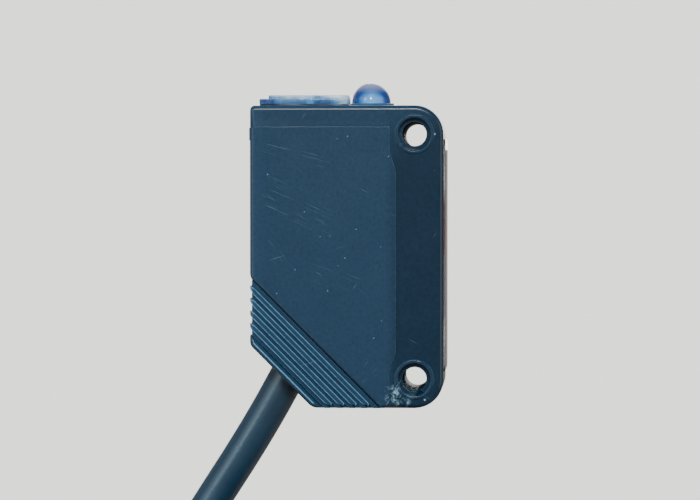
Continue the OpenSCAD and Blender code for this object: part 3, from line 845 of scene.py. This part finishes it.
# --- Seals and gasket ----------------------------------------------------------
# Black nitrile rubber: a ring on each adjuster's stem, and the flat gasket that the
# control cover is pressed on.
rubber = moulded("black_rubber", (0.014, 0.015, 0.017), 0.6, grain=0.12, depth=0.006,
                 mottle=0.15, wear=0.1, dust=0.3)
for node in ("sensitivity_seal", "mode_seal", "panel_gasket"):
    dress(node, rubber)

# --- Indicators ----------------------------------------------------------------
# Two surface-mounted lamps under the dome, green for a stable signal and orange for
# the output. Both are off.
lamp_green = moulded("lamp_green", (0.35, 0.6, 0.35), 0.3, grain=0.1, depth=0.002,
                     wear=0.1)
lamp_orange = moulded("lamp_orange", (0.75, 0.4, 0.12), 0.3, grain=0.1, depth=0.002,
                      wear=0.1)
dress("stability_led", lamp_green)
dress("output_led", lamp_orange)

# --- Control cover -------------------------------------------------------------
# A clear polycarbonate cover with a faint blue tint, welded down over the gasket. It
# has a raised middle and two round openings in which the adjusters are turned.
cover_low, cover_high = (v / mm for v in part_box("panel_cover"))
sensitivity_x, mode_x = -8.9, -13.3
dot_ring_r = 2.35


def cover_rim(a, b):
    """The cover's upper and outer edges."""
    return all(p.z > half_h for p in (a, b))


def cover_paint(tree, place):
    """Clear faint blue on top, with a row of printed dots beside each adjuster.

    Its cut edges carry painted light and shade in soft patches: deep low down and at the rear,
    a pale painted highlight toward the top.
    """
    axes = add_node(tree, "SeparateXYZ", {0: place}).outputs
    patches = add_node(tree, "TexNoise", {"Vector": place, "Scale": 330.0, "Detail": 2.0})
    height = add_node(tree, "MapRange", {
        0: axes[2], 1: cover_low.z * mm, 2: cover_high.z * mm}).outputs[0]
    # painted shade: darker toward the rear end
    rear = add_node(tree, "MapRange", {
        0: axes[0], 1: (cover_low.x + 2.2) * mm, 2: cover_low.x * mm}).outputs[0]
    painted_light_level = maths(tree, "ADD", height, maths(
        tree, "MULTIPLY_ADD", patches.outputs["Fac"], 2.4, -1.3))
    painted_light_level = maths(tree, "SUBTRACT", painted_light_level, maths(tree, "MULTIPLY", rear, 0.6), clamp=True)
    tint = add_node(tree, "ValToRGB", {0: painted_light_level})
    # painted light and shade: deep blue low down, a pale painted highlight at the top
    set_ramp(tint, ((0, (0.03, 0.07, 0.2)), (0.3, (0.05, 0.18, 0.42)),
                    (0.6, (0.17, 0.4, 0.7)), (0.95, (0.7, 0.86, 0.96))))
    facing = add_node(tree, "NewGeometry").outputs["Normal"]
    upward = add_node(tree, "SeparateXYZ", {0: facing}).outputs[2]
    flat = add_node(tree, "MapRange", {0: upward, 1: 0.75, 2: 0.97}).outputs[0]
    body = blend(tree, flat, tint.outputs[0], (0.3, 0.52, 0.78, 1))
    dots = 0.0
    for centre_x, angles in ((sensitivity_x, (-52, -26, 0, 26, 52)), (mode_x, (-40, 40))):
        for number, angle in enumerate(angles):
            turn = math.radians(angle)
            spot = (centre_x + dot_ring_r * math.sin(turn),
                    middle_y - dot_ring_r * math.cos(turn), cover_high.z)
            dots = maths(tree, "MAXIMUM", dots, near_point(tree, place, spot,
                                                           0.14 + 0.025 * number))
    return blend(tree, dots, body, (0.8, 0.83, 0.86, 1))


cover_clear = clear_plastic("cover_clear", (0.3, 0.55, 0.85), 0.13, 1.5, paint=cover_paint,
                            through=0.68, dust=0.3)
refined("panel_cover", "control_cover", cover_clear, [(0.1, 2, cover_rim)])

# --- Indicator dome ------------------------------------------------------------
# A clear blue moulding, a half ball on a thin flange, that carries the light of both
# indicators out to the top and all sides.
dome_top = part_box("indicator_dome")[1].z / mm
flange_top = 15.96
past_dome = 2.2  # farther to the side than the half ball reaches, but on the flange


def dome_paint(tree, place):
    """Painted light through the middle, deep blue round it, a painted reflection at its rim
    and painted light on top; dark blue on its flange.
    """
    # painted light and reflection by how squarely the surface faces the view: lighter in the
    # middle, pale at the rim
    facing = add_node(tree, "LayerWeight", {"Blend": 0.5}).outputs["Facing"]
    tint = add_node(tree, "ValToRGB", {0: facing})
    set_ramp(tint, ((0, (0.14, 0.38, 0.7)), (0.14, (0.05, 0.18, 0.47)),
                    (0.3, (0.012, 0.05, 0.22)), (0.55, (0.014, 0.045, 0.2)),
                    (0.8, (0.4, 0.41, 0.56))))
    # painted light on the top of the dome
    height = add_node(tree, "SeparateXYZ", {0: place}).outputs[2]
    top = add_node(tree, "MapRange", {0: height, 1: (dome_top - 1.1) * mm,
                                      2: dome_top * mm}).outputs[0]
    body = blend(tree, maths(tree, "MULTIPLY", top, 0.85), tint.outputs[0],
                 (0.36, 0.4, 0.56, 1))
    foot = add_node(tree, "MapRange", {0: height, 1: (flange_top + 0.06) * mm,
                                       2: (flange_top + 0.01) * mm}).outputs[0]
    return blend(tree, foot, body, (0.03, 0.1, 0.2, 1))


def flange_rim(a, b):
    """The upper edge of the dome's flange."""
    return (abs(a.z - flange_top) < 0.01 and abs(b.z - flange_top) < 0.01
            and max(abs(p.y - middle_y) for p in (a, b)) > past_dome)


dome_blue = clear_plastic("dome_blue", (0.2, 0.4, 0.85), 0.06, 1.5, paint=dome_paint,
                          through=0.4, dust=0.1)
refined("indicator_dome", "dome_lens", dome_blue, [(0.08, 2, flange_rim)], smooth=30)

# --- Cable entry ---------------------------------------------------------------
# A moulded rubber grommet seals the cable in the sloped corner; inside, a crimped
# steel ring stops it being pulled out, and three wires run on to the main board.
grommet_rubber = moulded("grommet_rubber", (0.012, 0.02, 0.026), 0.5, grain=0.12,
                         depth=0.005, mottle=0.12, wear=0.2, dust=0.2)
lip_rise = 0.25
lip_sum = slope_sum - lip_rise * math.sqrt(2)
brown_from, black_to = -11.4, -12.6  # the brown wire lies in front, the black behind


def lip_edge(a, b):
    """The outer edges of the grommet's lip."""
    return all(abs(p.x + p.z - lip_sum) < 0.02 for p in (a, b))


refined("cable_grommet", "cable_seal", grommet_rubber, [(0.1, 2, lip_edge)], smooth=40)
refined("crimp_ring", "crimp_band", tin_plate, smooth=40)


def wire_paint(tree, place):
    """Brown, blue and black insulation, by where each wire lies."""
    axes = add_node(tree, "SeparateXYZ", {0: place}).outputs
    brown = maths(tree, "GREATER_THAN", axes[0], brown_from * mm)
    black = maths(tree, "LESS_THAN", axes[0], black_to * mm)
    brown_hue, blue_hue, black_hue = (
        core_colours[name] + (1,) for name in ("brown", "blue", "black"))
    return blend(tree, black, blend(tree, brown, blue_hue, brown_hue), black_hue)


wire_plastic = moulded("wire_plastic", (0.1, 0.05, 0.03), 0.4, grain=0.2, depth=0.003,
                       wear=0, paint=wire_paint)
dress("inner_wires", wire_plastic)

# --- Side label ----------------------------------------------------------------
# A thin satin film in a shallow recess on the mounting side, with a printed frame
# line and plain bars where a maker would print its data.
label_low, label_high = (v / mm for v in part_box("side_label"))


def label_paint(tree, place):
    """Silver-grey film, a thin dark frame line and plain bars inside it."""
    axes = add_node(tree, "SeparateXYZ", {0: place}).outputs
    centre_x = (label_low.x + label_high.x) / 2
    centre_z = (label_low.z + label_high.z) / 2
    half_w = (label_high.x - label_low.x) / 2
    half_tall = (label_high.z - label_low.z) / 2

    def off(axis, centre):
        return maths(tree, "ABSOLUTE", maths(tree, "SUBTRACT", axis, centre * mm))

    def within(wide, tall, shift=0.0, lift=0.0):
        return maths(tree, "MULTIPLY",
                     maths(tree, "LESS_THAN", off(axes[0], centre_x + shift), wide * mm),
                     maths(tree, "LESS_THAN", off(axes[2], centre_z + lift), tall * mm))

    ink = maths(tree, "SUBTRACT", within(half_w - 0.45, half_tall - 0.45),
                within(half_w - 0.6, half_tall - 0.6))
    # half width, half height and place of each bar
    for wide, tall, shift, lift in ((4.6, 0.7, 0, 4), (2.4, 0.22, -2.2, 1.7),
                                    (1.6, 0.22, 3, 1.7), (4.6, 0.08, 0, 0.6),
                                    (1.5, 1.5, -3.1, -2.9), (2.4, 0.22, 2.2, -1.8),
                                    (2.4, 0.22, 2.2, -2.8), (2.4, 0.22, 2.2, -3.8)):
        ink = maths(tree, "MAXIMUM", ink, within(wide, tall, shift, lift))
    return blend(tree, ink, (0.55, 0.57, 0.58, 1), (0.02, 0.035, 0.05, 1))


label_film = moulded("label_film", (0.6, 0.62, 0.62), 0.35, grain=0.2, depth=0.002,
                     mottle=0.04, wear=0.2, worn=1.2, paint=label_paint)
refined("side_label", "rating_label", label_film, [
    (0.7, 4, lambda a, b: abs(a.y - b.y) > 0.05)])
